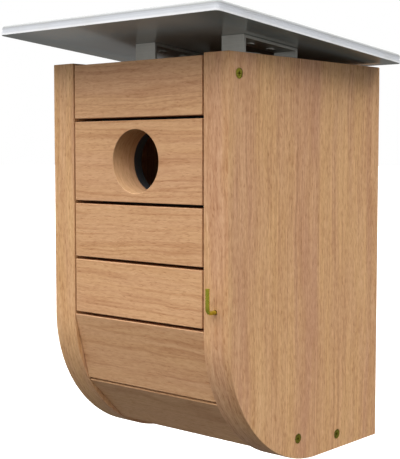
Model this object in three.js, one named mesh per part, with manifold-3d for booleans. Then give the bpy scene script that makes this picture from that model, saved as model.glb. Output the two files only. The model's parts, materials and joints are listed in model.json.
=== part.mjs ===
// Hanging nest box: straight-grained boards, a slatted door hung from two pivot screws, a curved lower
// front of three flat staves, a brass turn hook, and a sloping roof plate on two flat-bar brackets.
// Millimetres, +Z up. The origin is the centre of the flat back. The front looks along -Y.
import * as THREE from "three";
import { mergeVertices } from "three/addons/utils/BufferGeometryUtils.js";
import Module from "manifold-3d";

const wasm = await Module();
wasm.setup();

// Box
const boxWidth = 150;
const boxDepth = 159;
const boxHeight = 251.8;
const boardThickness = 19;
const cornerRadius = 88.3;
const edgeEase = 0.3;

// Clearances
const seatGap = 0.3;
const slatGap = 2;
const doorSideGap = 1.3;
const doorSweepGap = 3;
const boreClearance = 0.3;
const cutOverrun = 2;
const weldTolerance = 0.0001;

// Door
const doorTopDrop = 1.4;
const entrySlatHeight = 50.5;
const entryDiameter = 39.5;
const backingThickness = 6.4;
const backingSideInset = 5;
const backingTopShare = 0.53;
const backingBottomInset = 4.4;
const backingScrewInset = 8;
const pivotDrop = 10.9;

// Curved front
const staveLead = 0.7;

// Screws
const screwHeadRadius = 3.1;
const screwHeadDepth = 1.7;
const screwHeadSink = 0.1;
const screwShankRadius = 1.6;
const screwPointLength = 4;
const recessWidth = 0.9;
const recessSpan = 3.6;
const recessDepth = 1.2;
const boardScrewLength = 40;
const backingScrewLength = 20;
const footScrewLength = 16;
const floorScrewShare = 25 / 56;
const backScrewInset = 45;

// Roof plate
const roofThickness = 6.5;
const roofSideOverhang = 17.5;
const roofFrontOverhang = 30.2;
const roofBackSetback = 1;
const roofFrontRise = 18.1;
const roofBackRise = 1.5;
const roofTopEase = 2.2;
const roofCornerRadius = 3;

// Roof brackets
const barWidth = 17.6;
const barThickness = 2;
const barEase = 0.25;
const bracketSetback = 1.9;
const bracketLengthShare = 0.475;
const bracketFootLength = 16;
const footScrewReach = 9.5;
const leftBracketInset = 55.9;
const rightBracketInset = 21.2;
const footScrewEdgeInset = 4.9;
const rivetRadius = 1.6;
const rivetHeadRadius = 3.2;
const rivetHeadHeight = 1;
const rivetTailRadius = 2.8;
const rivetTailHeight = 0.8;
const rivetDomeShares = [
  [1, 0],
  [0.8, 0.65],
  [0.4, 0.95],
];
const rivetSpacing = 20;

// Turn hook
const hookWireRadius = 1.25;
const hookStandoff = 6.8;
const hookLegLength = 14.6;
const hookDepthInWood = 16;
const hookBend = 3;
const hookPanelInset = 9;
const hookAboveDoorEdge = 10.7;

// How finely round shapes are cut
const cornerSteps = 28;
const staveCount = 3;
const entrySides = 48;
const screwSides = 12;
const roofCornerSteps = 5;
const hookSteps = 22;
const hookSides = 12;

// Planes and lines that several pieces share
const right = new THREE.Vector3(1, 0, 0);
const back = new THREE.Vector3(0, 1, 0);
const up = new THREE.Vector3(0, 0, 1);
const frontY = -boxDepth;
const topZ = boxHeight / 2;
const bottomZ = -boxHeight / 2;
const panelInnerX = boxWidth / 2 - boardThickness;
const boardHalfLength = panelInnerX - seatGap;
const backPanelFrontY = -boardThickness;
const arcCentreY = frontY + cornerRadius;
const arcCentreZ = bottomZ + cornerRadius;
const doorHalfWidth = panelInnerX - doorSideGap;
const doorTopZ = topZ - doorTopDrop;
const staveTopZ = arcCentreZ + staveLead;
const doorBottomZ = staveTopZ + slatGap;
const slatBackY = frontY + boardThickness;
const pivotY = frontY + boardThickness / 2;
const pivotZ = doorTopZ - pivotDrop;
const doorSweepRadius = Math.hypot(slatBackY - pivotY, doorTopZ - pivotZ);
const ceilingFrontY = pivotY + doorSweepRadius + doorSweepGap;
const floorFrontY = arcCentreY + slatGap / 2;
const roofFrontY = frontY - roofFrontOverhang;
const roofFrontZ = topZ + roofFrontRise;
const roofBackZ = topZ + roofBackRise;
const roofRun = -roofBackSetback - roofFrontY;
const roofWidth = boxWidth + 2 * roofSideOverhang;
const roofSlope = Math.atan2(roofFrontZ - roofBackZ, roofRun);
const roofLength = Math.hypot(roofRun, roofFrontZ - roofBackZ);
const leftBracketX = leftBracketInset - boxWidth / 2;
const rightBracketX = boxWidth / 2 - rightBracketInset;
const hookX = panelInnerX + hookPanelInset;
const hookZ = doorBottomZ + hookAboveDoorEdge;

const finishes = {
  wood: { color: 0xc39b70, roughness: 0.7, metalness: 0 },
  darkBacking: { color: 0x1b1c1f, roughness: 0.75, metalness: 0 },
  roofCoat: { color: 0xeef0f3, roughness: 0.3, metalness: 0.1 },
  greySteel: { color: 0x6b6b66, roughness: 0.45, metalness: 0.7 },
  brass: { color: 0x97902c, roughness: 0.35, metalness: 0.9 },
  agedBrass: { color: 0x6b6a26, roughness: 0.45, metalness: 0.85 },
};

// Solids and geometries

function solidOf(geometry) {
  const bare = geometry.clone();
  bare.deleteAttribute("normal");
  bare.deleteAttribute("uv");
  const merged = mergeVertices(bare, weldTolerance);
  return new wasm.Manifold(
    new wasm.Mesh({
      numProp: 3,
      vertProperties: merged.attributes.position.array,
      triVerts: new Uint32Array(merged.index.array),
    }),
  );
}

function geometryOf(solid) {
  const mesh = solid.getMesh();
  const geometry = new THREE.BufferGeometry();
  geometry.setAttribute("position", new THREE.BufferAttribute(mesh.vertProperties, 3));
  geometry.setIndex(new THREE.BufferAttribute(mesh.triVerts, 1));
  return geometry;
}

function cutBy(geometry, cutters) {
  const cut = cutters.reduce((solid, cutter) => solid.subtract(solidOf(cutter)), solidOf(geometry));
  return geometryOf(cut);
}

// A mesh that turns and sits where its geometry was drawn, with its own origin at its middle.
function addPiece(group, name, geometry, finish) {
  const centred = geometry.clone();
  centred.computeBoundingBox();
  const middle = centred.boundingBox.getCenter(new THREE.Vector3());
  centred.translate(-middle.x, -middle.y, -middle.z);
  centred.computeVertexNormals();
  const mesh = new THREE.Mesh(centred, new THREE.MeshStandardMaterial({ ...finish, flatShading: true }));
  mesh.name = name;
  mesh.position.copy(middle).sub(group.position);
  group.add(mesh);
}

// An outline in the YZ plane with each of its corners cut back by ease.
function easedOutline(corners, ease) {
  const points = [];
  corners.forEach((corner, i) => {
    const before = corners[(i + corners.length - 1) % corners.length];
    const after = corners[(i + 1) % corners.length];
    points.push(corner.clone().add(before.clone().sub(corner).setLength(ease)));
    points.push(corner.clone().add(after.clone().sub(corner).setLength(ease)));
  });
  return new THREE.Shape(points);
}

function rectangle(lowY, highY, lowZ, highZ) {
  return [
    new THREE.Vector2(lowY, lowZ),
    new THREE.Vector2(highY, lowZ),
    new THREE.Vector2(highY, highZ),
    new THREE.Vector2(lowY, highZ),
  ];
}

// Draws a YZ outline out along X from lowX to highX, with the edges of both ends eased.
function drawnAcross(outline, lowX, highX, ease) {
  const geometry = new THREE.ExtrudeGeometry(outline, {
    depth: highX - lowX - 2 * ease,
    bevelThickness: ease,
    bevelSize: ease,
    bevelOffset: -ease,
    bevelSegments: 1,
    curveSegments: cornerSteps,
  });
  geometry.applyMatrix4(new THREE.Matrix4().makeBasis(back, up, right));
  return geometry.translate(lowX + ease, 0, 0);
}

function board(lowY, highY, lowZ, highZ, halfWidth) {
  const outline = easedOutline(rectangle(lowY, highY, lowZ, highZ), edgeEase);
  return drawnAcross(outline, -halfWidth, halfWidth, edgeEase);
}

// A round solid whose profile runs from the axis back to the axis. Its own axis turns to point along heading.
function turned(profile, sides, place, heading) {
  const points = profile.map(([radius, height]) => new THREE.Vector2(radius, height));
  const geometry = new THREE.LatheGeometry(points, sides);
  geometry.applyQuaternion(new THREE.Quaternion().setFromUnitVectors(back, heading));
  return geometry.translate(place.x, place.y, place.z);
}

// Screws: the head's top lies just under the surface that the screw is driven into.

function screwGeometry(length) {
  const profile = [
    [0, -screwHeadSink - length],
    [screwShankRadius, -screwHeadSink - length + screwPointLength],
    [screwShankRadius, -screwHeadSink - screwHeadDepth],
    [screwHeadRadius, -screwHeadSink],
    [0, -screwHeadSink],
  ];
  const arm = new THREE.BoxGeometry(recessSpan, 2 * recessDepth, recessWidth);
  arm.translate(0, -screwHeadSink, 0);
  const crossArm = arm.clone().rotateY(Math.PI / 2);
  return cutBy(turned(profile, screwSides, new THREE.Vector3(), back), [arm, crossArm]);
}

function screwBore(length, place, heading) {
  const end = -screwHeadSink - length - boreClearance;
  const profile = [
    [0, end],
    [screwShankRadius + boreClearance, end],
    [screwShankRadius + boreClearance, -screwHeadSink - screwHeadDepth - boreClearance],
    [screwHeadRadius + boreClearance, -screwHeadSink - boreClearance],
    [screwHeadRadius + boreClearance, cutOverrun],
    [0, cutOverrun],
  ];
  return turned(profile, screwSides, place, heading);
}

const screwShapes = new Map(
  [boardScrewLength, backingScrewLength, footScrewLength].map((length) => [length, screwGeometry(length)]),
);

class Screw {
  constructor(name, length, place, heading) {
    this.name = name;
    this.length = length;
    this.place = place;
    this.heading = heading;
  }

  bore() {
    return screwBore(this.length, this.place, this.heading);
  }

  addTo(group, finish) {
    const shape = screwShapes.get(this.length);
    const mesh = new THREE.Mesh(shape, new THREE.MeshStandardMaterial({ ...finish, flatShading: true }));
    mesh.name = this.name;
    mesh.position.copy(this.place).sub(group.position);
    mesh.quaternion.setFromUnitVectors(back, this.heading);
    group.add(mesh);
  }
}

const bothSides = [
  { side: "left", sign: -1 },
  { side: "right", sign: 1 },
];

function screwPair(name, y, z) {
  return bothSides.map(({ side, sign }) => {
    const place = new THREE.Vector3((sign * boxWidth) / 2, y, z);
    return new Screw(`${name}_${side}`, boardScrewLength, place, right.clone().multiplyScalar(sign));
  });
}

// Curved front: flat staves laid as chords of the panels' round corner, mitred along its radii.

function arcPoint(turn, radius) {
  return new THREE.Vector2(arcCentreY - radius * Math.cos(turn), arcCentreZ - radius * Math.sin(turn));
}

function crossing(pointA, headingA, pointB, headingB) {
  const apart = pointB.clone().sub(pointA);
  const along = apart.cross(headingB) / headingA.cross(headingB);
  return pointA.clone().add(headingA.clone().multiplyScalar(along));
}

function staveCorners(index) {
  const firstTurn = (Math.PI / 2) * (index / staveCount);
  const lastTurn = (Math.PI / 2) * ((index + 1) / staveCount);
  const isFirst = index === 0;
  const first = isFirst ? new THREE.Vector2(frontY, staveTopZ) : arcPoint(firstTurn, cornerRadius);
  const last = arcPoint(lastTurn, cornerRadius);
  const along = last.clone().sub(first).normalize();
  const inward = new THREE.Vector2(-along.y, along.x);
  const innerStart = first.clone().add(inward.clone().multiplyScalar(boardThickness));
  const firstCut = new THREE.Vector2(Math.cos(firstTurn), Math.sin(firstTurn));
  const lastCut = new THREE.Vector2(Math.cos(lastTurn), Math.sin(lastTurn));
  const firstGap = isFirst ? 0 : slatGap / 2;
  const firstEnd = first.clone().add(along.clone().multiplyScalar(firstGap));
  const lastEnd = last.clone().sub(along.clone().multiplyScalar(slatGap / 2));
  return [
    firstEnd,
    lastEnd,
    crossing(innerStart, along, lastEnd, lastCut),
    crossing(innerStart, along, firstEnd, firstCut),
  ];
}

function middleOf(points) {
  const sum = points.reduce((total, point) => total.add(point), new THREE.Vector2());
  return sum.divideScalar(points.length);
}

const staves = Array.from({ length: staveCount }, (_, index) => staveCorners(index));

// Case screws

const lastStaveMiddle = middleOf(staves[staveCount - 1]);
const floorMiddleZ = bottomZ + boardThickness / 2;
const ceilingMiddleZ = topZ - boardThickness / 2;
const floorBackY = backPanelFrontY - seatGap;
const floorScrewY = floorFrontY + (floorBackY - floorFrontY) * floorScrewShare;
const floorScrews = screwPair("floor_screw", floorScrewY, floorMiddleZ);
const staveScrews = screwPair("stave_screw", lastStaveMiddle.x, lastStaveMiddle.y);
const pivotScrews = screwPair("door_pivot_screw", pivotY, pivotZ);

function backScrewPair(name, z) {
  return bothSides.map(({ side, sign }) => {
    const place = new THREE.Vector3(sign * (boxWidth / 2 - backScrewInset), 0, z);
    return new Screw(`${name}_${side}`, boardScrewLength, place, back);
  });
}

const backLowerScrews = backScrewPair("back_lower_screw", floorMiddleZ);
const backUpperScrews = backScrewPair("back_upper_screw", ceilingMiddleZ);

// Roof frame: X across, Y down the slope to the back, Z out of the plate, from the underside's front edge.

const roofFrame = new THREE.Matrix4()
  .makeTranslation(0, roofFrontY, roofFrontZ)
  .multiply(new THREE.Matrix4().makeRotationX(-roofSlope));
const roofNormal = up.clone().applyAxisAngle(right, -roofSlope);

function roofUndersideZ(y) {
  return roofFrontZ - (y - roofFrontY) * Math.tan(roofSlope);
}

function roofPlan() {
  const plan = new THREE.Shape();
  const middles = [
    [roofWidth / 2 - roofCornerRadius, roofCornerRadius],
    [roofWidth / 2 - roofCornerRadius, roofLength - roofCornerRadius],
    [roofCornerRadius - roofWidth / 2, roofLength - roofCornerRadius],
    [roofCornerRadius - roofWidth / 2, roofCornerRadius],
  ];
  middles.forEach(([x, y], corner) => {
    const start = (corner - 1) * (Math.PI / 2);
    plan.absarc(x, y, roofCornerRadius, start, start + Math.PI / 2, false);
  });
  return plan;
}

function roofPlate(cutters) {
  const slab = new THREE.ExtrudeGeometry(roofPlan(), {
    depth: roofThickness - roofTopEase,
    bevelThickness: roofTopEase,
    bevelSize: roofTopEase,
    bevelOffset: -roofTopEase,
    bevelSegments: 3,
    curveSegments: roofCornerSteps,
  });
  const below = new THREE.BoxGeometry(roofWidth + cutOverrun, roofLength + cutOverrun, roofTopEase + cutOverrun);
  below.translate(0, roofLength / 2, -(roofTopEase + cutOverrun) / 2);
  return cutBy(slab.applyMatrix4(roofFrame), [below.applyMatrix4(roofFrame), ...cutters]);
}

// Roof brackets: flat bar mitred and welded into a frame, with its feet turned in under the arch.

function mitredBar(corners, thickness) {
  const headings = corners.slice(1).map((corner, i) => corner.clone().sub(corners[i]).normalize());
  const shifted = (corner, heading, sign) =>
    corner.clone().add(new THREE.Vector2(-heading.y, heading.x).multiplyScalar((sign * thickness) / 2));
  const edge = (sign) =>
    corners.map((corner, i) => {
      const before = headings[Math.max(i - 1, 0)];
      const after = headings[Math.min(i, headings.length - 1)];
      const start = shifted(corner, before, sign);
      return before === after ? start : crossing(start, before, shifted(corner, after, sign), after);
    });
  return new THREE.Shape([...edge(1), ...edge(-1).reverse()]);
}

const bracketFrontY = ceilingFrontY + bracketSetback;
const ceilingBackY = backPanelFrontY - seatGap;
const bracketBackY = bracketFrontY + (ceilingBackY - ceilingFrontY) * bracketLengthShare;
const footZ = topZ + seatGap + barThickness / 2;
const webDrop = (seatGap + barThickness / 2) / Math.cos(roofSlope);

function bracketOutline() {
  const frontLegY = bracketFrontY + barThickness / 2;
  const backLegY = bracketBackY - barThickness / 2;
  return mitredBar(
    [
      new THREE.Vector2(bracketFrontY + bracketFootLength, footZ),
      new THREE.Vector2(frontLegY, footZ),
      new THREE.Vector2(frontLegY, roofUndersideZ(frontLegY) - webDrop),
      new THREE.Vector2(backLegY, roofUndersideZ(backLegY) - webDrop),
      new THREE.Vector2(backLegY, footZ),
      new THREE.Vector2(bracketBackY - bracketFootLength, footZ),
    ],
    barThickness,
  );
}

class Bracket {
  constructor(side, x, footScrewX) {
    this.side = side;
    this.x = x;
    const footTopZ = topZ + seatGap + barThickness;
    this.footScrews = [
      ["front", bracketFrontY + footScrewReach],
      ["back", bracketBackY - footScrewReach],
    ].map(([end, y]) => {
      const place = new THREE.Vector3(footScrewX, y, footTopZ);
      return new Screw(`bracket_screw_${side}_${end}`, footScrewLength, place, up);
    });
    const middleY = (bracketFrontY + bracketBackY) / 2;
    this.rivets = [
      ["front", middleY - rivetSpacing / 2],
      ["back", middleY + rivetSpacing / 2],
    ].map(([end, y]) => {
      const place = new THREE.Vector3(x, y, roofUndersideZ(y));
      return { name: `roof_rivet_${side}_${end}`, place };
    });
  }

  geometry() {
    const bar = drawnAcross(bracketOutline(), this.x - barWidth / 2, this.x + barWidth / 2, barEase);
    return cutBy(bar, [
      ...this.footScrews.map((screw) => screw.bore()),
      ...this.rivets.map((rivet) => rivetBore(rivet.place)),
    ]);
  }
}

// Rivets: domed head over the plate, shank through plate and bar, low formed tail under the bar.

function rivetGeometry(place) {
  const headSeat = roofThickness + seatGap;
  const tailSeat = -barThickness - 2 * seatGap;
  const profile = [
    [0, tailSeat - rivetTailHeight],
    [rivetTailRadius, tailSeat - rivetTailHeight],
    [rivetTailRadius, tailSeat],
    [rivetRadius, tailSeat],
    [rivetRadius, headSeat],
    ...rivetDomeShares.map(([across, high]) => [rivetHeadRadius * across, headSeat + rivetHeadHeight * high]),
    [0, headSeat + rivetHeadHeight],
  ];
  return turned(profile, screwSides, place, roofNormal);
}

function rivetBore(place) {
  const lowEnd = -seatGap - barThickness - cutOverrun;
  const highEnd = roofThickness + cutOverrun;
  const radius = rivetRadius + boreClearance;
  const profile = [
    [0, lowEnd],
    [radius, lowEnd],
    [radius, highEnd],
    [0, highEnd],
  ];
  return turned(profile, screwSides, place, roofNormal);
}

const brackets = [
  new Bracket("left", leftBracketX, leftBracketX),
  new Bracket("right", rightBracketX, boardHalfLength - footScrewEdgeInset),
];
const footScrews = brackets.flatMap((bracket) => bracket.footScrews);
const rivets = brackets.flatMap((bracket) => bracket.rivets);

// Case: side panels, back, floor, ceiling and the three fixed staves.

const boxCase = new THREE.Group();

function sidePanelOutline() {
  const outline = new THREE.Shape();
  outline.moveTo(frontY, topZ - edgeEase);
  outline.lineTo(frontY, arcCentreZ);
  outline.absarc(arcCentreY, arcCentreZ, cornerRadius, Math.PI, 1.5 * Math.PI, false);
  outline.lineTo(-edgeEase, bottomZ);
  outline.lineTo(0, bottomZ + edgeEase);
  outline.lineTo(0, topZ - edgeEase);
  outline.lineTo(-edgeEase, topZ);
  outline.lineTo(frontY + edgeEase, topZ);
  return outline;
}

function hookBore() {
  const radius = hookWireRadius + boreClearance;
  const profile = [
    [0, -hookDepthInWood - boreClearance],
    [radius, -hookDepthInWood - boreClearance],
    [radius, cutOverrun],
    [0, cutOverrun],
  ];
  return turned(profile, hookSides, new THREE.Vector3(hookX, frontY, hookZ), back.clone().negate());
}

const caseSideBores = [...floorScrews, ...staveScrews, ...pivotScrews].map((screw) => screw.bore());
const leftPanel = drawnAcross(sidePanelOutline(), -boxWidth / 2, -panelInnerX, edgeEase);
const rightPanel = drawnAcross(sidePanelOutline(), panelInnerX, boxWidth / 2, edgeEase);
addPiece(boxCase, "side_panel_left", cutBy(leftPanel, caseSideBores), finishes.wood);
addPiece(boxCase, "side_panel_right", cutBy(rightPanel, [...caseSideBores, hookBore()]), finishes.wood);

const backPanel = board(backPanelFrontY, 0, bottomZ, topZ, boardHalfLength);
const backBores = [...backLowerScrews, ...backUpperScrews].map((screw) => screw.bore());
addPiece(boxCase, "back_panel", cutBy(backPanel, backBores), finishes.wood);

const floorTopZ = bottomZ + boardThickness;
const floorBoard = board(floorFrontY, floorBackY, bottomZ, floorTopZ, boardHalfLength);
const floorBores = [...floorScrews, ...backLowerScrews].map((screw) => screw.bore());
addPiece(boxCase, "floor_board", cutBy(floorBoard, floorBores), finishes.wood);

const ceilingLowZ = topZ - boardThickness;
const ceilingBoard = board(ceilingFrontY, ceilingBackY, ceilingLowZ, topZ, boardHalfLength);
const ceilingBores = [...backUpperScrews, ...footScrews].map((screw) => screw.bore());
addPiece(boxCase, "ceiling_board", cutBy(ceilingBoard, ceilingBores), finishes.wood);

const staveNames = ["front_stave_upper", "front_stave_middle", "front_stave_lower"];
staves.forEach((corners, index) => {
  const stave = drawnAcross(easedOutline(corners, edgeEase), -boardHalfLength, boardHalfLength, edgeEase);
  const bores = index === staveCount - 1 ? staveScrews.map((screw) => screw.bore()) : [];
  addPiece(boxCase, staveNames[index], cutBy(stave, bores), finishes.wood);
});

[...floorScrews, ...staveScrews, ...backLowerScrews, ...backUpperScrews].forEach((screw) =>
  screw.addTo(boxCase, finishes.agedBrass),
);

// Roof

const rivetBores = rivets.map((rivet) => rivetBore(rivet.place));
addPiece(boxCase, "roof_plate", roofPlate(rivetBores), finishes.roofCoat);
brackets.forEach((bracket) => {
  addPiece(boxCase, `roof_bracket_${bracket.side}`, bracket.geometry(), finishes.greySteel);
});
footScrews.forEach((screw) => screw.addTo(boxCase, finishes.greySteel));
rivets.forEach((rivet) => addPiece(boxCase, rivet.name, rivetGeometry(rivet.place), finishes.greySteel));

// Door: four slats screwed to a thin dark board. It turns about its two pivot screws.

const door = new THREE.Group();
door.position.set(0, pivotY, pivotZ);

const plainSlatHeight = (doorTopZ - doorBottomZ - entrySlatHeight - 3 * slatGap) / 3;
const doorSlats = [
  { name: "door_slat_top", height: plainSlatHeight },
  { name: "door_slat_entry", height: entrySlatHeight },
  { name: "door_slat_middle", height: plainSlatHeight },
  { name: "door_slat_bottom", height: plainSlatHeight },
];
doorSlats.reduce((highZ, slat) => {
  slat.highZ = highZ;
  slat.lowZ = highZ - slat.height;
  return slat.lowZ - slatGap;
}, doorTopZ);

const backingFrontY = slatBackY + seatGap;
const backingBackY = backingFrontY + backingThickness;
const backingTopZ = doorTopZ - plainSlatHeight * backingTopShare;
const backingBottomZ = doorBottomZ + backingBottomInset;
const backingHalfWidth = doorHalfWidth - backingSideInset;
const entrySlat = doorSlats[1];
const entryZ = (entrySlat.highZ + entrySlat.lowZ) / 2;

// The entry hole runs through the slat and the backing, with its front rim eased.
function entryBore() {
  const radius = entryDiameter / 2;
  const end = frontY - backingBackY - cutOverrun;
  const profile = [
    [0, end],
    [radius, end],
    [radius, -edgeEase],
    [radius + edgeEase, 0],
    [radius + edgeEase, cutOverrun],
    [0, cutOverrun],
  ];
  return turned(profile, entrySides, new THREE.Vector3(0, frontY, entryZ), back.clone().negate());
}

const backingScrews = doorSlats.flatMap((slat) => {
  const z = (Math.min(slat.highZ, backingTopZ) + Math.max(slat.lowZ, backingBottomZ)) / 2;
  return bothSides.map(({ side, sign }) => {
    const place = new THREE.Vector3(sign * (backingHalfWidth - backingScrewInset), backingBackY, z);
    return new Screw(slat.name.replace("door_slat", "backing_screw") + `_${side}`, backingScrewLength, place, back);
  });
});
const backingBores = backingScrews.map((screw) => screw.bore());
const pivotBores = pivotScrews.map((screw) => screw.bore());

doorSlats.forEach((slat) => {
  const slatBoard = board(frontY, slatBackY, slat.lowZ, slat.highZ, doorHalfWidth);
  const cutters = [...backingBores, ...pivotBores, entryBore()];
  addPiece(door, slat.name, cutBy(slatBoard, cutters), finishes.wood);
});
const backing = board(backingFrontY, backingBackY, backingBottomZ, backingTopZ, backingHalfWidth);
addPiece(door, "door_backing", cutBy(backing, [...backingBores, entryBore()]), finishes.darkBacking);
pivotScrews.forEach((screw) => screw.addTo(door, finishes.agedBrass));
backingScrews.forEach((screw) => screw.addTo(door, finishes.agedBrass));

// Turn hook: one bent wire, screwed into the right panel's front edge, its leg pointing up when unlocked.

const hook = new THREE.Group();
hook.position.set(hookX, frontY, hookZ);

function hookGeometry() {
  const wire = new THREE.Shape();
  wire.absarc(0, 0, hookWireRadius, 0, 2 * Math.PI, false);
  const corner = new THREE.Vector3(0, -hookStandoff, 0);
  const bendStart = new THREE.Vector3(0, hookBend - hookStandoff, 0);
  const bendEnd = new THREE.Vector3(0, -hookStandoff, hookBend);
  const path = new THREE.CurvePath();
  path.add(new THREE.LineCurve3(new THREE.Vector3(0, hookDepthInWood, 0), bendStart));
  path.add(new THREE.QuadraticBezierCurve3(bendStart, corner, bendEnd));
  path.add(new THREE.LineCurve3(bendEnd, new THREE.Vector3(0, -hookStandoff, hookLegLength)));
  const geometry = new THREE.ExtrudeGeometry(wire, {
    steps: hookSteps,
    curveSegments: hookSides / 2,
    extrudePath: path,
  });
  return geometry.translate(hookX, frontY, hookZ);
}

addPiece(hook, "latch_hook", hookGeometry(), finishes.brass);

const birdhouse = new THREE.Group();
birdhouse.add(boxCase, door, hook);

export default birdhouse;
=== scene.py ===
# Finishes, rounded boards, screws, rivets, hook, camera and light for the nest box. Metres, +Z up.
import json
import math

import bmesh
import bpy
from mathutils import Matrix, Vector


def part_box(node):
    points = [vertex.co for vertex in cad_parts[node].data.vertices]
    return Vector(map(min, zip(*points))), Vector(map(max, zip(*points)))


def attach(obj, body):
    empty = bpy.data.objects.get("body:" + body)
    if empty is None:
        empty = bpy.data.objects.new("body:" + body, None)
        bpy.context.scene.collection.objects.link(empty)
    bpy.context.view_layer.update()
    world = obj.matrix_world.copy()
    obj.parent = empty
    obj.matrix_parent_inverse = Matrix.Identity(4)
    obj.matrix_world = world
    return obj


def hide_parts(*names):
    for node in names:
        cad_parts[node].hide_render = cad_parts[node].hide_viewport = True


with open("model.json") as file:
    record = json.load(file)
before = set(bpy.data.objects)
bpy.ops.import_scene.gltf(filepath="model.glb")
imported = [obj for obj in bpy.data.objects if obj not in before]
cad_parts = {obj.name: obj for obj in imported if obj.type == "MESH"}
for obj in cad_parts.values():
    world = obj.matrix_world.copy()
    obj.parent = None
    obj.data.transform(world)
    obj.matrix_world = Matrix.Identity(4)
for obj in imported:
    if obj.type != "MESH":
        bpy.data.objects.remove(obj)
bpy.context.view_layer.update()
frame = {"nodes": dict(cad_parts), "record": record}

scene = bpy.context.scene


def linear(red, green, blue):
    """A colour written in screen values, 0 to 255, as shader values."""
    def one(value):
        share = value / 255
        return share / 12.92 if share <= 0.04045 else ((share + 0.055) / 1.055) ** 2.4
    return (one(red), one(green), one(blue), 1.0)


# Camera
camera_place = Vector((0.46248, -0.62254, 0.06745))
camera_azimuth = math.radians(41.435)
camera_drop = math.radians(4.06)
camera_lens = 83.218

# Floor and lamp
floor_drop = 0.22
floor_size = 60.0
floor_colour = linear(244, 244, 245)
floor_roughness = 0.9
lamp_place = Vector((1.9, -0.3, 0.6))
lamp_size = 1.4
lamp_power = 0.5

# Light dome, its heights from 0 at the horizon to 1 overhead
dome_below = 0.21
dome_level = 0.385
dome_ring = 3.88
dome_zenith = 1.25
dome_front = 1.57
dome_colour = (1.0, 0.985, 0.96, 1)
horizon_heights = (-0.2, 0.0)
ring_heights = (0.5, 0.75)
zenith_heights = (0.75, 0.95)
front_heights = (0.25, 0.5)

# Shaping
arris_round = 0.00012
arris_steps = 2
arris_shortest = 0.002
arris_least_turn = math.radians(25)
arris_most_turn = math.radians(60)
smooth_turn = math.radians(32)
square_turn = math.radians(60)
flat_turn = math.radians(0.5)
facing = 0.9
weld_distance = 1e-6
level_slack = 1e-5
bar_sides = 24
rim_steps = 2

# Boards
corner_radius = 0.0883
board_thickness = 0.019
edge_ease = 0.0003
entry_radius = 0.01975

# Wood colours
golden = linear(215, 170, 122)
pinkish = linear(203, 155, 120)
worn_wood = linear(224, 182, 142)
grain_tint = (0.75, 1.15, 1.5)
# Entry hole wall: raw cut wood, greyer, with painted light low on the wall and painted shade toward its top
shaded_entry_start = -0.006
lit_raw_entry_tint = (1.2, 1.28, 1.34)
shaded_entry_tint = (0.56, 0.56, 0.5)

# Wood grain, its cycles a metre across and along the grain
sway_cycles = (12, 12, 6)
sway_reach = 0.012
waver_cycles = (55, 55, 28)
waver_reach = 0.0032
ring_cycles = (230, 230, 4)
ring_drift = 0.12
late_wood_level = 0.53
late_wood_width = 0.07
late_patch_cycles = (80, 80, 16)
late_patch_span = (0.3, 0.55)
band_cycles = (60, 60, 1.1)
band_span = (0.4, 0.6)
band_share = 0.6
flush_cycles = (120, 120, 12)
flush_span = (0.34, 0.66)
streak_cycles = (760, 760, 7)
streak_strength = 0.5
dash_cycles = (900, 900, 200)
dash_strength = 0.5
dash_height = 0.35
fibre_cycles = (2600, 2600, 240)
fibre_span = (0.2, 0.8)
fibre_strength = 0.34
fibre_height = 0.5
pore_cycles = (1900, 1900, 260)
pore_span = (0.62, 0.70)
pore_strength = 0.18
pore_height = 0.6
pore_roughness = 0.15
wood_roughness = (0.5, 0.62)
wood_relief = 0.00025
wood_specular = 0.35

# Wear and soil
wear_patch_cycles = (160, 160, 160)
wear_reach = (0.0006, 0.0011)
wear_border = (-0.0003, 0.0002)
wear_smoothing = 0.12
edge_wear = 0.12
soil_cycles = (22, 22, 14)
soil_span = (0.45, 0.75)

# The middle span of a noise, which carries most of it
noise_span = (0.3, 0.7)

# Dark board behind the slats
backing_colours = (linear(42, 46, 51), linear(60, 64, 69))
backing_roughness = (0.5, 0.62)
backing_cloud_cycles = (60, 60, 60)
backing_fine_cycles = (900, 900, 900)
backing_relief = 0.0001

# Roof plate
roof_thickness = 0.0065
roof_top_round = 0.0022
roof_low_round = 0.0002
roof_corner_round = 0.003
roof_round_steps = 6
roof_seam = ((0.0007, 0.00005), (0.0022, 0.00009), (0.0029, 0.00014), (0.0035, 0.00013))

# Roof finish, its spans in metres over the underside, from the middle and from the back
roof_coated = (0.00002, 0.0003)
# Painted shade on the plate's edge: a bluish grey band over the seam, with a white line left at its foot
roof_band_shade_span = (roof_seam[0][0] / 2, roof_seam[1][0])
# Painted shade: from the top of the edge up over the top face the coat is painted a darker grey
roof_top_shade_span = (0.0039, 0.0048)
# Painted shade toward the underside's sides, and painted light over the box, which shades the underside
roof_painted_shade_span = (0.05, 0.088)
roof_painted_light_span = (-0.168, -0.135)
roof_white = (linear(238, 240, 245), linear(243, 245, 248))
# Colours of the painted shade on the top
roof_top_shade = (linear(164, 167, 170), linear(172, 175, 177))
roof_band_shade = linear(208, 212, 220)
roof_soil = linear(180, 178, 170)
roof_soil_amount = 0.3
roof_grey = (linear(192, 200, 200), linear(199, 206, 206))
# Underside greys: painted light over the box, painted shade toward the sides
roof_grey_painted_light = linear(220, 229, 229)
roof_grey_painted_shade = linear(146, 158, 158)
roof_cloud_cycles = (18, 18, 18)
roof_pebble_cycles = (1400, 1400, 1400)
roof_brush_cycles = (900, 14, 14)
roof_grey_roughness = (0.1, 0.16)
roof_white_roughness = (0.5, 0.6)
roof_grey_metallic = 0.12
roof_relief = 0.00004
roof_specular = 0.3

# Bracket finish
bracket_light = linear(224, 225, 220)
bracket_dark = linear(214, 215, 209)
bracket_cloud_cycles = (90, 90, 90)
bracket_brush_cycles = (30, 900, 900)
bracket_brush_span = (0.25, 0.75)
bracket_brush_shade = (0.93, 1.07)
bracket_roughness = (0.28, 0.36)
bracket_metallic = 0.5

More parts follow.
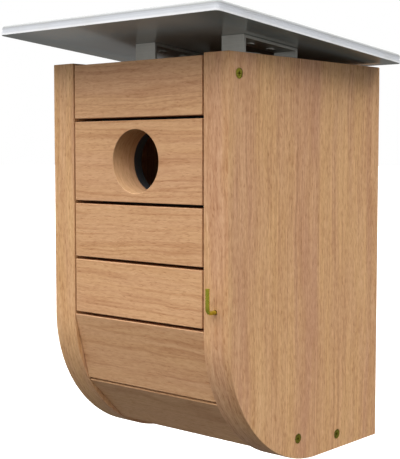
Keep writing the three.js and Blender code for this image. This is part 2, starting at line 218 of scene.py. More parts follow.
# Brass finishes
screw_bright = linear(176, 168, 56)
screw_dull = linear(112, 104, 30)
screw_grime = linear(126, 102, 28)
screw_roughness = (0.22, 0.34)
hook_bright = linear(212, 208, 76)
hook_dull = linear(190, 184, 66)
hook_roughness = (0.24, 0.36)
tarnish_cycles = (260, 260, 260)
tarnish_span = (0.35, 0.68)
brass_fine_cycles = (2600, 2600, 2600)
brass_metallic = 0.9
metal_relief = 0.00003

# Screws
screw_head_radius = 0.0031
screw_head_depth = 0.0017
screw_shank_radius = 0.0016
screw_point_length = 0.004
screw_rim_round = 0.00018
recess_depth = 0.0013
recess_span = 0.0038
recess_width = 0.00095
recess_taper = 0.5
recess_slack = 1.1

# Rivets
rivet_head_radius = 0.0032
rivet_head_height = 0.001
rivet_dome = ((0.82, 0.62), (0.45, 0.93), (0.12, 1.0))
rivet_tail_height = 0.0008
rivet_tail_radius = 0.0028
rivet_tail_round = 0.0003
rivet_radius = 0.0016

# Hook
hook_sides = 20
hook_bend_radius = 0.003
hook_bend_steps = 10
hook_end_round = 0.00022

high_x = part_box("side_panel_right")[1].x
front_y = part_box("side_panel_right")[0].y
back_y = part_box("side_panel_right")[1].y
bottom_z, top_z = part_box("side_panel_right")[0].z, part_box("side_panel_right")[1].z
corner_y, corner_z = front_y + corner_radius, bottom_z + corner_radius


def middle(node):
    low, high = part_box(node)
    return (low + high) / 2


def hook_corner():
    """Where the middle lines of the hook's shank and leg meet."""
    low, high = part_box("latch_hook")
    radius = (high.x - low.x) / 2
    return Vector((low.x + radius, low.y + radius, low.z + radius))


entry_middle = middle("door_slat_entry")

# Shader trees


class Shader:
    """Adds nodes to a shader tree. A value given as a socket is linked, and any other value is set."""

    mix_sockets = {"FLOAT": (2, 3, 0), "VECTOR": (4, 5, 1), "RGBA": (6, 7, 2)}

    def __init__(self, tree):
        self.tree = tree

    def add(self, kind, values=None, **settings):
        made = self.tree.nodes.new(kind)
        for name, value in settings.items():
            setattr(made, name, value)
        for socket, value in (values or {}).items():
            if isinstance(value, bpy.types.NodeSocket):
                self.tree.links.new(value, made.inputs[socket])
            else:
                made.inputs[socket].default_value = value
        return made

    def math(self, operation, a, b=0.0):
        return self.add("ShaderNodeMath", {0: a, 1: b}, operation=operation).outputs[0]

    def plus(self, a, b):
        return self.math("ADD", a, b)

    def minus(self, a, b):
        return self.math("SUBTRACT", a, b)

    def times(self, a, b):
        return self.math("MULTIPLY", a, b)

    def larger(self, a, b):
        return self.math("MAXIMUM", a, b)

    def smaller(self, a, b):
        return self.math("MINIMUM", a, b)

    def absolute(self, a):
        return self.math("ABSOLUTE", a)

    def diagonal(self, a, b):
        return self.math("SQRT", self.plus(self.times(a, a), self.times(b, b)))

    def vector(self, operation, a, b=(0, 0, 0)):
        return self.add("ShaderNodeVectorMath", {0: a, 1: b}, operation=operation).outputs[0]

    def noise(self, vector, cycles, detail=1.0, roughness=0.5, output=0):
        """Noise with so many cycles a metre along each axis, from 0 to 1."""
        scaled = self.vector("MULTIPLY", vector, cycles)
        values = {"Vector": scaled, "Scale": 1.0, "Detail": detail, "Roughness": roughness}
        return self.add("ShaderNodeTexNoise", values).outputs[output]

    def ramp(self, value, low, high, to_low=0.0, to_high=1.0, smooth=True):
        made = self.add("ShaderNodeMapRange", {0: value, 1: low, 2: high, 3: to_low, 4: to_high})
        made.interpolation_type = "SMOOTHSTEP" if smooth else "LINEAR"
        return made.outputs[0]

    def mix(self, amount, a, b, kind="RGBA"):
        first, second, result = self.mix_sockets[kind]
        values = {0: amount, first: a, second: b}
        return self.add("ShaderNodeMix", values, data_type=kind).outputs[result]

    def split(self, vector):
        return self.add("ShaderNodeSeparateXYZ", {0: vector}).outputs[:3]

    def join(self, x, y, z):
        return self.add("ShaderNodeCombineXYZ", {0: x, 1: y, 2: z}).outputs[0]


class Effect(Shader):
    """A shader node group with named inputs and outputs."""

    kinds = {"vector": "NodeSocketVector", "colour": "NodeSocketColor", "value": "NodeSocketFloat"}

    def __init__(self, name, takes, gives):
        super().__init__(bpy.data.node_groups.new(name, "ShaderNodeTree"))
        for socket, kind in takes.items():
            self.tree.interface.new_socket(socket, in_out="INPUT", socket_type=self.kinds[kind])
        for socket, kind in gives.items():
            self.tree.interface.new_socket(socket, in_out="OUTPUT", socket_type=self.kinds[kind])
        self.given = self.tree.nodes.new("NodeGroupInput").outputs
        self.result = self.tree.nodes.new("NodeGroupOutput")

    def give(self, **results):
        for socket, value in results.items():
            self.tree.links.new(value, self.result.inputs[socket])
        return self.tree


def wood_grain():
    """Wood with its grain along Z and its pith on the Z axis: growth rings, streaks, fibres and pores."""
    takes = {"Vector": "vector", "Light": "colour", "Dark": "colour", "Contrast": "value", "Rings": "value"}
    effect = Effect("wood grain", takes, {"Color": "colour", "Roughness": "value", "Height": "value"})
    place = effect.given["Vector"]

    def shift(cycles, reach):
        """A soft shift across the grain, up to half the reach either way."""
        field = effect.noise(place, cycles, output="Color")
        centred = effect.vector("SUBTRACT", field, (0.5, 0.5, 0.5))
        return effect.vector("MULTIPLY", centred, (reach, reach, 0.0))

    bent = effect.vector("ADD", place, shift(sway_cycles, sway_reach))
    bent = effect.vector("ADD", bent, shift(waver_cycles, waver_reach))

    x, y, z = effect.split(bent)
    ringed = effect.join(effect.diagonal(x, y), effect.times(x, ring_drift), z)
    growth = effect.noise(ringed, ring_cycles)
    off_level = effect.absolute(effect.minus(growth, late_wood_level))
    late = effect.ramp(off_level, 0.0, late_wood_width, 1.0, 0.0)
    late = effect.times(late, effect.ramp(effect.noise(bent, late_patch_cycles), *late_patch_span))
    band = effect.ramp(effect.noise(ringed, band_cycles), *band_span)
    flush = effect.ramp(effect.noise(bent, flush_cycles), *flush_span)
    band = effect.plus(effect.times(band, band_share), effect.times(flush, 1 - band_share))

    streak = effect.noise(bent, streak_cycles)
    dash = effect.noise(bent, dash_cycles, detail=2.0, roughness=0.55)
    fibre = effect.noise(bent, fibre_cycles, detail=2.0, roughness=0.6)
    pore = effect.ramp(effect.noise(bent, pore_cycles, detail=0.0), *pore_span)

    colour = effect.mix(band, effect.given["Light"], effect.given["Dark"])
    marks = effect.times(pore, -pore_strength)
    for field, strength in ((streak, streak_strength), (dash, dash_strength), (fibre, fibre_strength)):
        marks = effect.minus(marks, effect.times(effect.minus(field, 0.5), strength))
    marks = effect.times(marks, effect.given["Contrast"])
    marks = effect.minus(marks, effect.times(late, effect.given["Rings"]))
    shade = effect.plus(marks, 1.0)
    tint = [effect.math("POWER", shade, power) for power in grain_tint]
    colour = effect.vector("MULTIPLY", colour, effect.join(*tint))

    rough = effect.ramp(fibre, *fibre_span, *wood_roughness)
    rough = effect.plus(rough, effect.times(pore, pore_roughness))
    height = effect.minus(effect.times(fibre, fibre_height), effect.times(pore, pore_height))
    height = effect.minus(height, effect.times(dash, dash_height))
    return effect.give(Color=colour, Roughness=rough, Height=height)


def board_edge():
    """How far a point on a board lies from the nearest edge of the face that it is on."""
    takes = {"Vector": "vector", "Middle": "vector", "Half Size": "vector"}
    effect = Effect("board edge", takes, {"Distance": "value"})
    away = effect.vector("SUBTRACT", effect.given["Vector"], effect.given["Middle"])
    away = effect.vector("ABSOLUTE", away)
    x, y, z = effect.split(effect.vector("SUBTRACT", effect.given["Half Size"], away))
    second = effect.smaller(effect.larger(x, y), z)
    return effect.give(Distance=effect.larger(effect.smaller(x, y), second))


def worn_edge():
    """Lightens and smooths wood along a worn edge, with an uneven border."""
    gives = {"Color": "colour", "Roughness": "value"}
    effect = Effect("worn edge", {"Vector": "vector", "Distance": "value", **gives, "Wear": "value"}, gives)
    patchy = effect.noise(effect.given["Vector"], wear_patch_cycles, detail=3.0)
    reach = effect.ramp(patchy, *noise_span, *wear_reach)
    near = effect.ramp(effect.minus(effect.given["Distance"], reach), *wear_border, 1.0, 0.0)
    amount = effect.times(near, effect.given["Wear"])
    bright = effect.mix(amount, effect.given["Color"], worn_wood)
    smooth = effect.minus(effect.given["Roughness"], effect.times(amount, wear_smoothing))
    return effect.give(Color=bright, Roughness=smooth)


def weather_soil():
    """Faint soil in soft patches, for outdoor surfaces."""
    takes = {"Vector": "vector", "Color": "colour", "Soil": "colour", "Amount": "value"}
    effect = Effect("weather soil", takes, {"Color": "colour"})
    patch = effect.noise(effect.given["Vector"], soil_cycles, detail=5.0, roughness=0.62)
    amount = effect.times(effect.ramp(patch, *soil_span), effect.given["Amount"])
    return effect.give(Color=effect.mix(amount, effect.given["Color"], effect.given["Soil"]))


grain_effect = wood_grain()
board_edge_effect = board_edge()
worn_edge_effect = worn_edge()
soil_effect = weather_soil()


def new_material(name):
    """A material, its tree, its surface shader, and the socket that gives a point's place on the object."""
    material = bpy.data.materials.new(name)
    material.use_nodes = True
    shader = Shader(material.node_tree)
    place = shader.add("ShaderNodeTexCoord").outputs["Object"]
    return material, shader, material.node_tree.nodes["Principled BSDF"], place


def connect(shader, surface, colour, roughness, height, relief, strength):
    """Gives a surface its colour, its roughness and its relief."""
    bump = shader.add("ShaderNodeBump", {"Height": height, "Distance": relief, "Strength": strength})
    links = shader.tree.links
    links.new(colour, surface.inputs["Base Color"])
    links.new(roughness, surface.inputs["Roughness"])
    links.new(bump.outputs[0], surface.inputs["Normal"])


def use_effect(shader, effect, values):
    return shader.add("ShaderNodeGroup", values, node_tree=effect).outputs


# Wood finishes


class Timber:
    """One board's place in its tree, and how far its colour runs from golden to pinkish."""

    def __init__(self, grain, pith, base=0.35, contrast=0.68, rings=0.17, banding=0.4):
        self.grain = grain
        self.pith = Vector(pith)
        self.base = base
        self.contrast = contrast
        self.rings = rings
        self.banding = banding


timbers = {
    "side_panel_left": Timber("Z", (0.02, 0.31, 0.4), base=0, contrast=1.1, rings=0.12, banding=1),
    "side_panel_right": Timber("Z", (-0.015, 0.27, 0.0), base=0, contrast=1.1, rings=0.12, banding=1),
    "back_panel": Timber("Z", (0.05, 0.21, 0.9)),
    "floor_board": Timber("X", (0.21, 0.11, 0.3)),
    "ceiling_board": Timber("X", (0.11, 0.23, 0.7)),
    "front_stave_upper": Timber("X", (0.17, 0.28, 1.3)),
    "front_stave_middle": Timber("X", (0.23, 0.29, 1.7)),
    "front_stave_lower": Timber("X", (0.21, 0.35, 2.1)),
    "door_slat_top": Timber("X", (0.03, 0.27, 2.5)),
    "door_slat_entry": Timber("X", (0.10, 0.25, 2.9)),
    "door_slat_middle": Timber("X", (0.14, 0.29, 3.3)),
    "door_slat_bottom": Timber("X", (0.19, 0.27, 3.7)),
}

# The turn that brings a board's grain onto Z
grain_turns = {"X": (0, math.pi / 2, 0), "Z": (0, 0, 0)}


def from_panel_core(shader, x):
    """How far a point of a side panel lies from the plane in the middle of its thickness."""
    return shader.absolute(shader.minus(shader.absolute(x), high_x - board_thickness / 2))


def along_corner(shader, place):
    """Turns the grain of a panel's narrow edge along its round corner. Its broad faces stay as they are."""
    x, y, z = shader.split(place)
    ahead = shader.minus(corner_y, y)
    below = shader.minus(corner_z, z)
    turn = shader.math("ARCTAN2", below, ahead)
    bent_y = shader.minus(corner_y, shader.diagonal(ahead, below))
    bent_z = shader.minus(corner_z, shader.times(turn, corner_radius))
    in_front = shader.math("GREATER_THAN", ahead, 0.0)
    in_corner = shader.times(in_front, shader.math("GREATER_THAN", below, 0.0))
    core_reach = board_thickness / 2 - edge_ease / 2
    on_edge = shader.math("LESS_THAN", from_panel_core(shader, x), core_reach)
    amount = shader.times(in_corner, on_edge)
    return shader.mix(amount, place, shader.join(x, bent_y, bent_z), "VECTOR")


def panel_edge_distance(shader, place):
    """As board edge, for a side panel with its round corner."""
    x, y, z = shader.split(place)
    ahead = shader.minus(corner_y, y)
    below = shader.minus(corner_z, z)
    reach = shader.diagonal(shader.larger(ahead, 0.0), shader.larger(below, 0.0))
    reach = shader.plus(reach, shader.smaller(shader.larger(ahead, below), 0.0))
    outline = shader.minus(corner_radius, reach)
    outline = shader.smaller(outline, shader.minus(back_y, y))
    outline = shader.smaller(outline, shader.minus(top_z, z))
    depth = shader.minus(board_thickness / 2, from_panel_core(shader, x))
    return shader.larger(outline, depth)


def about_entry(shader, place):
    """How far across and up from the entry hole's axis, how far in all, and whether on the hole's wall."""
    across, _, up = shader.split(shader.vector("SUBTRACT", place, entry_middle))
    radius = shader.diagonal(across, up)
    return across, up, radius, shader.math("LESS_THAN", radius, entry_radius + edge_ease / 2)


def round_entry(shader, place):
    """Turns the grain inside the entry hole round its wall, and leaves the rest of the slat alone."""
    across, up, radius, on_wall = about_entry(shader, place)
    turn = shader.math("ARCTAN2", across, up)
    y = shader.split(place)[1]
    wound = shader.join(shader.times(turn, entry_radius), y, radius)
    return shader.mix(on_wall, place, wound, "VECTOR")


def raw_entry_painted_light(shader, place, colour):
    """Greys the raw cut wood on the entry hole's wall, with painted light on its lower part and painted
    shade that darkens it toward the top.
    """
    _, up, _, on_wall = about_entry(shader, place)
    lit_raw = shader.vector("MULTIPLY", colour, lit_raw_entry_tint)
    painted_shade = shader.vector("MULTIPLY", colour, shaded_entry_tint)
    raw_and_painted_wall = shader.mix(shader.ramp(up, shaded_entry_start, entry_radius), lit_raw, painted_shade)
    return shader.mix(on_wall, colour, raw_and_painted_wall)


def wood_tone(share):
    """The colour that lies this share of the way from golden to pinkish."""
    return [a + (b - a) * share for a, b in zip(golden, pinkish)]


def wood_material(node, timber):
    material, shader, surface, place = new_material(node + "_wood")
    if node.startswith("side_panel"):
        edge = panel_edge_distance(shader, place)
        drawn = along_corner(shader, place)
    else:
        low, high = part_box(node)
        values = {"Vector": place, "Middle": (low + high) / 2, "Half Size": (high - low) / 2}
        edge = use_effect(shader, board_edge_effect, values)["Distance"]
        drawn = round_entry(shader, place) if node == "door_slat_entry" else place
    values = {"Vector": drawn, "Rotation": grain_turns[timber.grain], "Location": timber.pith}
    mapping = shader.add("ShaderNodeMapping", values)
    values = {
        "Vector": mapping.outputs[0],
        "Light": wood_tone(timber.base),
        "Dark": wood_tone(timber.base + timber.banding),
        "Contrast": timber.contrast,
        "Rings": timber.rings,
    }
    grain = use_effect(shader, grain_effect, values)
    values = {
        "Vector": place,
        "Distance": edge,
        "Color": grain["Color"],
        "Roughness": grain["Roughness"],
        "Wear": edge_wear,
    }
    worn = use_effect(shader, worn_edge_effect, values)
    colour = worn["Color"]
    if node == "door_slat_entry":
        # The entry hole's wall: greyer raw wood, painted light below and painted shade toward its top
        colour = raw_entry_painted_light(shader, place, colour)
    connect(shader, surface, colour, worn["Roughness"], grain["Height"], wood_relief, strength=0.45)
    surface.inputs["Specular IOR Level"].default_value = wood_specular
    return material


def backing_material():
    """Dark matt board, a little cloudy."""
    material, shader, surface, place = new_material("dark_backing_finish")
    cloudy = shader.noise(place, backing_cloud_cycles, detail=4.0)
    fine = shader.noise(place, backing_fine_cycles, detail=2.0)
    colour = shader.mix(cloudy, *backing_colours)
    roughness = shader.ramp(fine, *noise_span, *backing_roughness)
    connect(shader, surface, colour, roughness, fine, backing_relief, strength=0.3)
    return material


# Metal finishes


def roof_height(shader, place, front, along):
    """How far a point lies over the plate's underside, square to it."""
    _, y, z = shader.split(shader.vector("SUBTRACT", place, front))
    return shader.plus(shader.times(y, -along.z), shader.times(z, along.y))


def roof_material(front, along):
    """White coat, with painted shade: a bluish grey band up the edge over the seam, and a darker grey from
    the top of the edge over the top. The underside is bare, with painted light over the box and painted
    shade toward its sides.
    """
    material, shader, surface, place = new_material("roof_coat_finish")
    over = roof_height(shader, place, front, along)
    coated = shader.ramp(over, *roof_coated)
    cloudy = shader.noise(place, roof_cloud_cycles, detail=4.0)

    # Painted shade: the bluish grey band up the edge, then the darker grey top
    white = shader.mix(shader.ramp(over, *roof_band_shade_span), shader.mix(cloudy, *roof_white), roof_band_shade)
    white = shader.mix(shader.ramp(over, *roof_top_shade_span), white, shader.mix(cloudy, *roof_top_shade))
    values = {"Vector": place, "Color": white, "Soil": roof_soil, "Amount": roof_soil_amount}
    white = use_effect(shader, soil_effect, values)["Color"]

    across, down, _ = shader.split(place)
    # Painted light over the box and painted shade toward the sides of the underside
    painted_lift = shader.ramp(down, *roof_painted_light_span)
    painted_shade = shader.ramp(shader.absolute(across), *roof_painted_shade_span)
    grey = shader.mix(painted_lift, shader.mix(cloudy, *roof_grey), roof_grey_painted_light)
    grey = shader.mix(painted_shade, grey, roof_grey_painted_shade)

    brushed = shader.noise(place, roof_brush_cycles, detail=2.0)
    grey_rough = shader.ramp(brushed, *noise_span, *roof_grey_roughness)
    white_rough = shader.ramp(cloudy, *noise_span, *roof_white_roughness)
    rough = shader.mix(coated, grey_rough, white_rough, "FLOAT")
    metal = shader.ramp(coated, 0.0, 1.0, roof_grey_metallic, 0.0)
    shader.tree.links.new(metal, surface.inputs["Metallic"])
    height = shader.times(shader.noise(place, roof_pebble_cycles), coated)
    colour = shader.mix(coated, grey, white)
    connect(shader, surface, colour, rough, height, roof_relief, strength=0.25)
    surface.inputs["Specular IOR Level"].default_value = roof_specular
    return material


def bracket_material():
    """Dull grey steel, brushed along one axis, with soft cloudy tarnish."""
    material, shader, surface, place = new_material("bracket_finish")
    lines = shader.noise(place, bracket_brush_cycles, detail=3.0, roughness=0.6)
    cloudy = shader.noise(place, bracket_cloud_cycles, detail=4.0)
    colour = shader.mix(shader.ramp(cloudy, *noise_span), bracket_light, bracket_dark)
    shade = shader.ramp(lines, *bracket_brush_span, *bracket_brush_shade, smooth=False)
    colour = shader.vector("MULTIPLY", colour, shader.join(shade, shade, shade))
    roughness = shader.ramp(lines, *bracket_brush_span, *bracket_roughness)
    connect(shader, surface, colour, roughness, lines, metal_relief, strength=0.35)
    surface.inputs["Metallic"].default_value = bracket_metallic
    return material


def brass_material(name, bright, dull, roughness, grime=None):
    """Yellow-green brass with tarnish in patches. Grime is the colour of the soil in a recess, if any."""
    material, shader, surface, place = new_material(name)
    cloudy = shader.noise(place, tarnish_cycles, detail=4.0, roughness=0.6)
    fine = shader.noise(place, brass_fine_cycles, detail=2.0)
    colour = shader.mix(shader.ramp(cloudy, *tarnish_span), bright, dull)
    if grime:
        sunk = shader.add("ShaderNodeAttribute", attribute_name="sunk").outputs["Fac"]
        colour = shader.mix(sunk, colour, grime)
    rough = shader.ramp(cloudy, *noise_span, *roughness)
    connect(shader, surface, colour, rough, fine, metal_relief, strength=0.3)
    surface.inputs["Metallic"].default_value = brass_metallic
    return material


# Shaping


def deselect():
    bpy.ops.object.select_all(action="DESELECT")


def make_active(piece):
    deselect()
    piece.select_set(True)
    bpy.context.view_layer.objects.active = piece


def edit(piece):
    """Opens a piece in edit mode with nothing selected."""
    make_active(piece)
    bpy.ops.object.mode_set(mode="EDIT")
    bpy.ops.mesh.select_all(action="DESELECT")


def leave_edit():
    bpy.ops.object.mode_set(mode="OBJECT")


def choose(piece, kind, wanted):
    """Selects the vertices, edges or faces that a test picks, in edit mode."""
    bpy.ops.mesh.select_mode(type=kind)
    shape = bmesh.from_edit_mesh(piece.data)
    shape.normal_update()
    for part in {"VERT": shape.verts, "EDGE": shape.edges, "FACE": shape.faces}[kind]:
        part.select_set(bool(wanted(part)))
    shape.select_flush_mode()
    bmesh.update_edit_mesh(piece.data)


def stretch(*scales):
    """Scales what is selected about the origin."""
    bpy.ops.transform.resize(value=scales, center_override=(0, 0, 0))


def split_level(height):
    """Cuts the whole piece in edit mode at a height."""
    bpy.ops.mesh.select_all(action="SELECT")
    bpy.ops.mesh.bisect(plane_co=(0, 0, height), plane_no=(0, 0, 1))


def soften(offset, steps):
    """Rounds the selected edges."""
    bpy.ops.mesh.bevel(offset=offset, segments=steps, affect="EDGES")


def settle(piece):
    """Smooths the shading across small turns and keeps the broad faces flat."""
    make_active(piece)
    bpy.ops.object.shade_smooth_by_angle(angle=smooth_turn)
    piece.modifiers.new("even shading", "WEIGHTED_NORMAL").keep_sharp = True
    bpy.ops.object.modifier_apply(modifier="even shading")


def fit(piece, node, material, body):
    """Puts a finished piece in a node's stead, on the node's body, with its finish."""
    piece.data.materials.clear()
    piece.data.materials.append(material)
    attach(piece, body)
    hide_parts(node)


def new_piece(node, mesh):
    """An object in the scene that will stand for a node."""
    piece = bpy.data.objects.new(node + "_finished", mesh.copy())
    scene.collection.objects.link(piece)
    return piece


def bore_planes(node):
    """Planes along a node's bores, each as a point and a normal, so that no face has a hole inside it."""
    low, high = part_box(node)
    planes = []
    for other in frame["nodes"]:
        if "screw" in other or "rivet" in other or other == "latch_hook":
            other_low, other_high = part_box(other)
            if all(a < b for a, b in zip((*low, *other_low), (*other_high, *high))):
                upright = other.startswith(("bracket_screw", "roof_rivet"))
                point = hook_corner() if other == "latch_hook" else middle(other)
                planes.append((point, (1, 0, 0) if upright else (0, 0, 1)))
    if node in ("door_slat_entry", "door_backing"):
        planes.append((entry_middle, (0, 0, 1)))
    return planes


def is_arris(edge):
    if len(edge.link_faces) != 2 or edge.calc_length() < arris_shortest:
        return False
    return arris_least_turn < edge.calc_face_angle(0.0) < arris_most_turn


def rounded_copy(node):
    """A copy of a node with its faces made whole and its arrises rounded."""
    piece = new_piece(node, frame["nodes"][node].data)
    make_active(piece)
    bpy.ops.mesh.customdata_custom_splitnormals_clear()
    edit(piece)
    bpy.ops.mesh.select_all(action="SELECT")
    bpy.ops.mesh.remove_doubles(threshold=weld_distance)
    for point, normal in bore_planes(node):
        bpy.ops.mesh.select_all(action="SELECT")
        bpy.ops.mesh.bisect(plane_co=point, plane_no=normal)
        bpy.ops.mesh.mark_seam()
    bpy.ops.mesh.select_all(action="SELECT")
    bpy.ops.mesh.dissolve_limited(angle_limit=flat_turn, delimit={"SEAM"})
    choose(piece, "EDGE", is_arris)
    bpy.ops.mesh.bevel(offset=arris_round, segments=arris_steps, affect="EDGES", clamp_overlap=True)
    leave_edit()
    settle(piece)
    return piece


bodies = frame["record"]["behaviour"]["bodies"]
body_of_node = {node: body for body, nodes in bodies.items() for node in nodes}


def finish_boards():
    for node, timber in timbers.items():
        fit(rounded_copy(node), node, wood_material(node, timber), body_of_node[node])


finish_boards()

# Roof plate

roof_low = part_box("roof_plate")[0]
roof_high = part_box("roof_plate")[1]
front_rivet = middle("roof_rivet_right_front")
back_rivet = middle("roof_rivet_right_back")
roof_along = (back_rivet - front_rivet).normalized()
roof_out = Vector((0, -roof_along.z, roof_along.y))
roof_slope = math.atan2(-roof_along.z, roof_along.y)
roof_turn = Matrix.Rotation(-roof_slope, 4, "X")
roof_front = Vector((0, roof_low.y, roof_high.z - roof_thickness * math.cos(roof_slope)))
roof_level_length = roof_high.y - roof_low.y - roof_thickness * math.sin(roof_slope)
roof_length = roof_level_length / math.cos(roof_slope)
roof_width = roof_high.x - roof_low.x


def finish_roof():
    """The plate: a slab with corners rounded in plan, a soft top edge and a fine seam round its sides."""
    bpy.ops.mesh.primitive_cube_add(size=1, location=(0, 0, 0))
    plate = bpy.context.object
    plate.name = "roof_plate_finished"
    edit(plate)
    bpy.ops.mesh.select_all(action="SELECT")
    stretch(roof_width, roof_length, roof_thickness)
    choose(plate, "EDGE", lambda edge: abs((edge.verts[0].co - edge.verts[1].co).z) > roof_thickness / 2)
    soften(roof_corner_round, roof_round_steps)

    def rim(high):
        def on_rim(edge):
            level = all((vert.co.z > 0) == high for vert in edge.verts)
            return level and edge.calc_face_angle(0.0) > square_turn
        return on_rim

    choose(plate, "EDGE", rim(True))
    soften(roof_top_round, roof_round_steps)
    for height, inset in roof_seam:
        level = height - roof_thickness / 2
        top = math.inf if height == roof_seam[-1][0] else level + level_slack
        split_level(level)
        choose(plate, "VERT", lambda vert: level - level_slack < vert.co.z < top)
        stretch(1 - 2 * inset / roof_width, 1 - 2 * inset / roof_length, 1)
    choose(plate, "EDGE", rim(False))
    soften(roof_low_round, rim_steps)
    leave_edit()
    plate.data.transform(Matrix.Translation((0, roof_length / 2, roof_thickness / 2)))
    plate.data.transform(Matrix.Translation(roof_front) @ roof_turn)
    settle(plate)
    fit(plate, "roof_plate", roof_material(roof_front, roof_along), "box")


finish_roof()

# Brackets

bracket_finish = bracket_material()
for bracket in ("roof_bracket_left", "roof_bracket_right"):
    fit(rounded_copy(bracket), bracket, bracket_finish, "box")

# Dark board behind the slats

fit(rounded_copy("door_backing"), "door_backing", backing_material(), "door")

# Screws


def recess_cutter():
    """A cross-shaped driver tip, narrower at its foot, as two bars."""
    arms = []
    for size in ((recess_span, recess_width), (recess_width, recess_span)):
        bpy.ops.mesh.primitive_cube_add(size=1, location=(0, 0, 0))
        arm = bpy.context.object
        edit(arm)
        bpy.ops.mesh.select_all(action="SELECT")
        stretch(*size, 2 * recess_depth)
        choose(arm, "FACE", lambda face: face.normal.z < -facing)
        stretch(recess_taper, recess_taper, 1)
        leave_edit()
        arms.append(arm)
    return arms


def cut_away(piece, cutter):
    make_active(piece)
    cut = piece.modifiers.new("cut", "BOOLEAN")
    cut.operation = "DIFFERENCE"
    cut.solver = "EXACT"
    cut.object = cutter
    bpy.ops.object.modifier_apply(modifier="cut")
    bpy.data.objects.remove(cutter)


def model_screw(length):
    """A countersunk screw along Z, its head's flat top at zero."""
    bpy.ops.mesh.primitive_cylinder_add(
        vertices=bar_sides, radius=screw_head_radius, depth=length, location=(0, 0, -length / 2)
    )
    screw = bpy.context.object
    screw.name = f"screw_{round(length * 1000)}"
    bpy.ops.object.transform_apply(location=True)
    edit(screw)
    split_level(-screw_head_depth)
    split_level(screw_point_length - length)
    slim = screw_shank_radius / screw_head_radius
    choose(screw, "VERT", lambda vert: vert.co.z < -screw_head_depth / 2)
    stretch(slim, slim, 1)
    choose(screw, "VERT", lambda vert: vert.co.z < screw_point_length / 2 - length)
    bpy.ops.mesh.merge(type="CENTER")
    choose(screw, "EDGE", lambda edge: all(vert.co.z > -screw_head_depth / 2 for vert in edge.verts))
    soften(screw_rim_round, rim_steps)
    leave_edit()
    for arm in recess_cutter():
        cut_away(screw, arm)
    sunk = screw.data.attributes.new("sunk", "FLOAT", "POINT")
    for vert in screw.data.vertices:
        near_axis = math.hypot(vert.co.x, vert.co.y) < recess_span / 2
        in_recess = recess_depth / 2 < -vert.co.z < recess_depth * recess_slack
        sunk.data[vert.index].value = float(near_axis and in_recess)
    settle(screw)
    scene.collection.objects.unlink(screw)
    return screw.data


def heading_of(node):
    """The way that a screw's head faces."""
    if node.startswith(("floor_screw", "stave_screw", "door_pivot_screw")):
        return Vector((1 if node.endswith("right") else -1, 0, 0))
    if node.startswith("bracket_screw"):
        return Vector((0, 0, 1))
    return Vector((0, 1, 0))


def drive_screws():
    name = "screw_brass_finish"
    brass_finish = brass_material(name, screw_bright, screw_dull, screw_roughness, screw_grime)
    shapes = {}
    for node in [node for node in frame["nodes"] if "screw" in node]:
        low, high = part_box(node)
        heading = heading_of(node)
        reach = abs(heading.dot((high - low) / 2))
        length = round(2 * reach, 4)
        if length not in shapes:
            shapes[length] = model_screw(length)
        screw = new_piece(node, shapes[length])
        turn = heading.to_track_quat("Z", "Y").to_matrix().to_4x4()
        screw.data.transform(Matrix.Translation((low + high) / 2 + heading * reach) @ turn)
        slot = "bracket_metal" if node.startswith("bracket_screw") else "screw_brass"
        finish = bracket_finish if slot == "bracket_metal" else brass_finish
        fit(screw, node, finish, body_of_node[node])


drive_screws()

# Rivets


def model_rivet(length):
    """A rivet along Z: a low tail whose end is at zero, a shank and a domed head."""
    neck = length - rivet_head_height
    bpy.ops.mesh.primitive_circle_add(
        vertices=bar_sides, radius=rivet_tail_radius, fill_type="NGON", location=(0, 0, 0)
    )
    rivet = bpy.context.object
    rivet.name = "rivet"
    edit(rivet)
    bpy.ops.mesh.select_all(action="SELECT")
    radius, height = rivet_tail_radius, 0.0
    steps = [(rivet_tail_radius, rivet_tail_height), (rivet_radius, rivet_tail_height)]
    steps += [(rivet_radius, neck), (rivet_head_radius, neck)]
    steps += [(rivet_head_radius * across, neck + rivet_head_height * high) for across, high in rivet_dome]
    for next_radius, next_height in steps:
        bpy.ops.mesh.extrude_region_move(TRANSFORM_OT_translate={"value": (0, 0, next_height - height)})
        stretch(next_radius / radius, next_radius / radius, 1)
        radius, height = next_radius, next_height
    bpy.ops.mesh.select_all(action="SELECT")
    bpy.ops.mesh.normals_make_consistent(inside=False)
    choose(rivet, "EDGE", lambda edge: all(vert.co.z < level_slack for vert in edge.verts))
    soften(rivet_tail_round, rim_steps)
    leave_edit()
    settle(rivet)
    scene.collection.objects.unlink(rivet)
    return rivet.data


def drive_rivets():
    shape = None
    for node in [node for node in frame["nodes"] if node.startswith("roof_rivet")]:
        centre = middle(node)
        reach = [(vert.co - centre).dot(roof_out) for vert in frame["nodes"][node].data.vertices]
        shape = shape or model_rivet(max(reach) - min(reach))
        rivet = new_piece(node, shape)
        rivet.data.transform(Matrix.Translation(centre + roof_out * min(reach)) @ roof_turn)
        fit(rivet, node, bracket_finish, "box")


drive_rivets()

# Hook


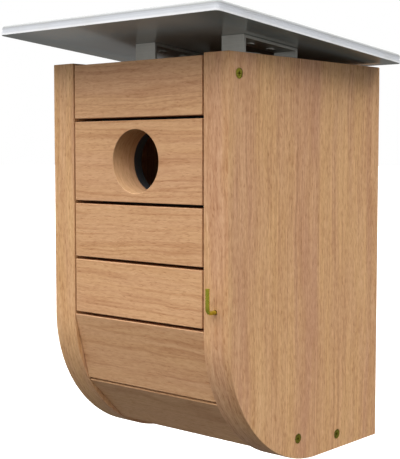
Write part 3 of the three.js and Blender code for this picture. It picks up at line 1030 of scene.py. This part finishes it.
def finish_hook():
    """One bent wire: a shank in the wood, a tight bend and a leg that ends flat."""
    low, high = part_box("latch_hook")
    radius = (high.x - low.x) / 2
    corner = hook_corner()
    shank_end = corner.y + hook_bend_radius
    shank = high.y - shank_end
    shank_middle = (corner.x, shank_end + shank / 2, corner.z)
    bpy.ops.mesh.primitive_cylinder_add(
        vertices=hook_sides, radius=radius, depth=shank, location=shank_middle, rotation=(math.pi / 2, 0, 0)
    )
    hook = bpy.context.object
    hook.name = "latch_hook_finished"
    bpy.ops.object.transform_apply(location=True, rotation=True)
    edit(hook)
    choose(hook, "FACE", lambda face: face.normal.y < -facing)
    bpy.ops.mesh.delete(type="ONLY_FACE")
    choose(hook, "EDGE", lambda edge: len(edge.link_faces) == 1)
    bend_middle = corner + Vector((0, hook_bend_radius, hook_bend_radius))
    bpy.ops.mesh.spin(steps=hook_bend_steps, angle=math.pi / 2, center=bend_middle, axis=(1, 0, 0))
    bpy.ops.mesh.extrude_region_move(TRANSFORM_OT_translate={"value": (0, 0, high.z - bend_middle.z)})
    bpy.ops.mesh.edge_face_add()
    bpy.ops.mesh.select_all(action="SELECT")
    bpy.ops.mesh.remove_doubles(threshold=weld_distance)
    bpy.ops.mesh.normals_make_consistent(inside=False)
    choose(hook, "EDGE", lambda edge: edge.calc_face_angle(0.0) > square_turn)
    soften(hook_end_round, rim_steps)
    leave_edit()
    settle(hook)
    finish = brass_material("hook_brass_finish", hook_bright, hook_dull, hook_roughness)
    fit(hook, "latch_hook", finish, "hook")


finish_hook()

# Floor, light and camera


def lay_floor():
    bpy.ops.mesh.primitive_plane_add(size=floor_size, location=(0, 0, bottom_z - floor_drop))
    floor = bpy.context.object
    floor.name = "studio_floor"
    material = bpy.data.materials.new("pale_floor")
    material.use_nodes = True
    surface = material.node_tree.nodes["Principled BSDF"]
    surface.inputs["Base Color"].default_value = floor_colour
    surface.inputs["Roughness"].default_value = floor_roughness
    floor.data.materials.append(material)
    floor.visible_diffuse = False
    floor.visible_glossy = False


def hang_lamp():
    """A weak round lamp on the right, turned to the entry hole."""
    glow = bpy.data.lights.new("side_light", "AREA")
    glow.shape = "DISK"
    glow.size = lamp_size
    glow.energy = lamp_power
    holder = bpy.data.objects.new("side_light", glow)
    holder.location = lamp_place
    holder.rotation_euler = (entry_middle - lamp_place).to_track_quat("-Z", "Y").to_euler()
    scene.collection.objects.link(holder)


def light_room():
    """A soft dome, brightest in a ring overhead and at the front. The camera itself sees plain white."""
    world = bpy.data.worlds.new("studio")
    scene.world = world
    world.use_nodes = True
    shader = Shader(world.node_tree)
    world.node_tree.nodes.clear()
    direction = shader.add("ShaderNodeTexCoord").outputs["Generated"]
    _, depth, height = shader.split(direction)
    sides = shader.ramp(height, *horizon_heights, dome_below, dome_level, smooth=False)
    ring = shader.ramp(height, *ring_heights, 0.0, dome_ring, smooth=False)
    zenith = shader.ramp(height, *zenith_heights, 0.0, dome_ring - dome_zenith, smooth=False)
    front_rise = shader.ramp(height, *front_heights, 0.0, dome_front, smooth=False)
    front_fall = shader.ramp(height, *zenith_heights, 1.0, 0.0, smooth=False)
    ahead = shader.larger(shader.times(depth, -1.0), 0.0)
    front = shader.times(shader.times(front_rise, front_fall), ahead)
    dome = shader.plus(shader.minus(shader.plus(sides, ring), zenith), front)
    seen = shader.add("ShaderNodeLightPath").outputs["Is Camera Ray"]
    plain = shader.add("ShaderNodeBackground", {"Color": (1, 1, 1, 1), "Strength": 1.0})
    soft = shader.add("ShaderNodeBackground", {"Color": dome_colour, "Strength": dome})
    both = shader.add("ShaderNodeMixShader", {0: seen, 1: soft.outputs[0], 2: plain.outputs[0]})
    shader.add("ShaderNodeOutputWorld", {0: both.outputs[0]})


def place_camera():
    lens = bpy.data.cameras.new("photo_camera")
    lens.lens = camera_lens
    camera = bpy.data.objects.new("photo_camera", lens)
    camera.location = camera_place
    camera.rotation_euler = (math.pi / 2 - camera_drop, 0, camera_azimuth)
    scene.collection.objects.link(camera)
    scene.camera = camera


lay_floor()
hang_lamp()
light_room()
place_camera()
scene.view_settings.view_transform = "Standard"
deselect()
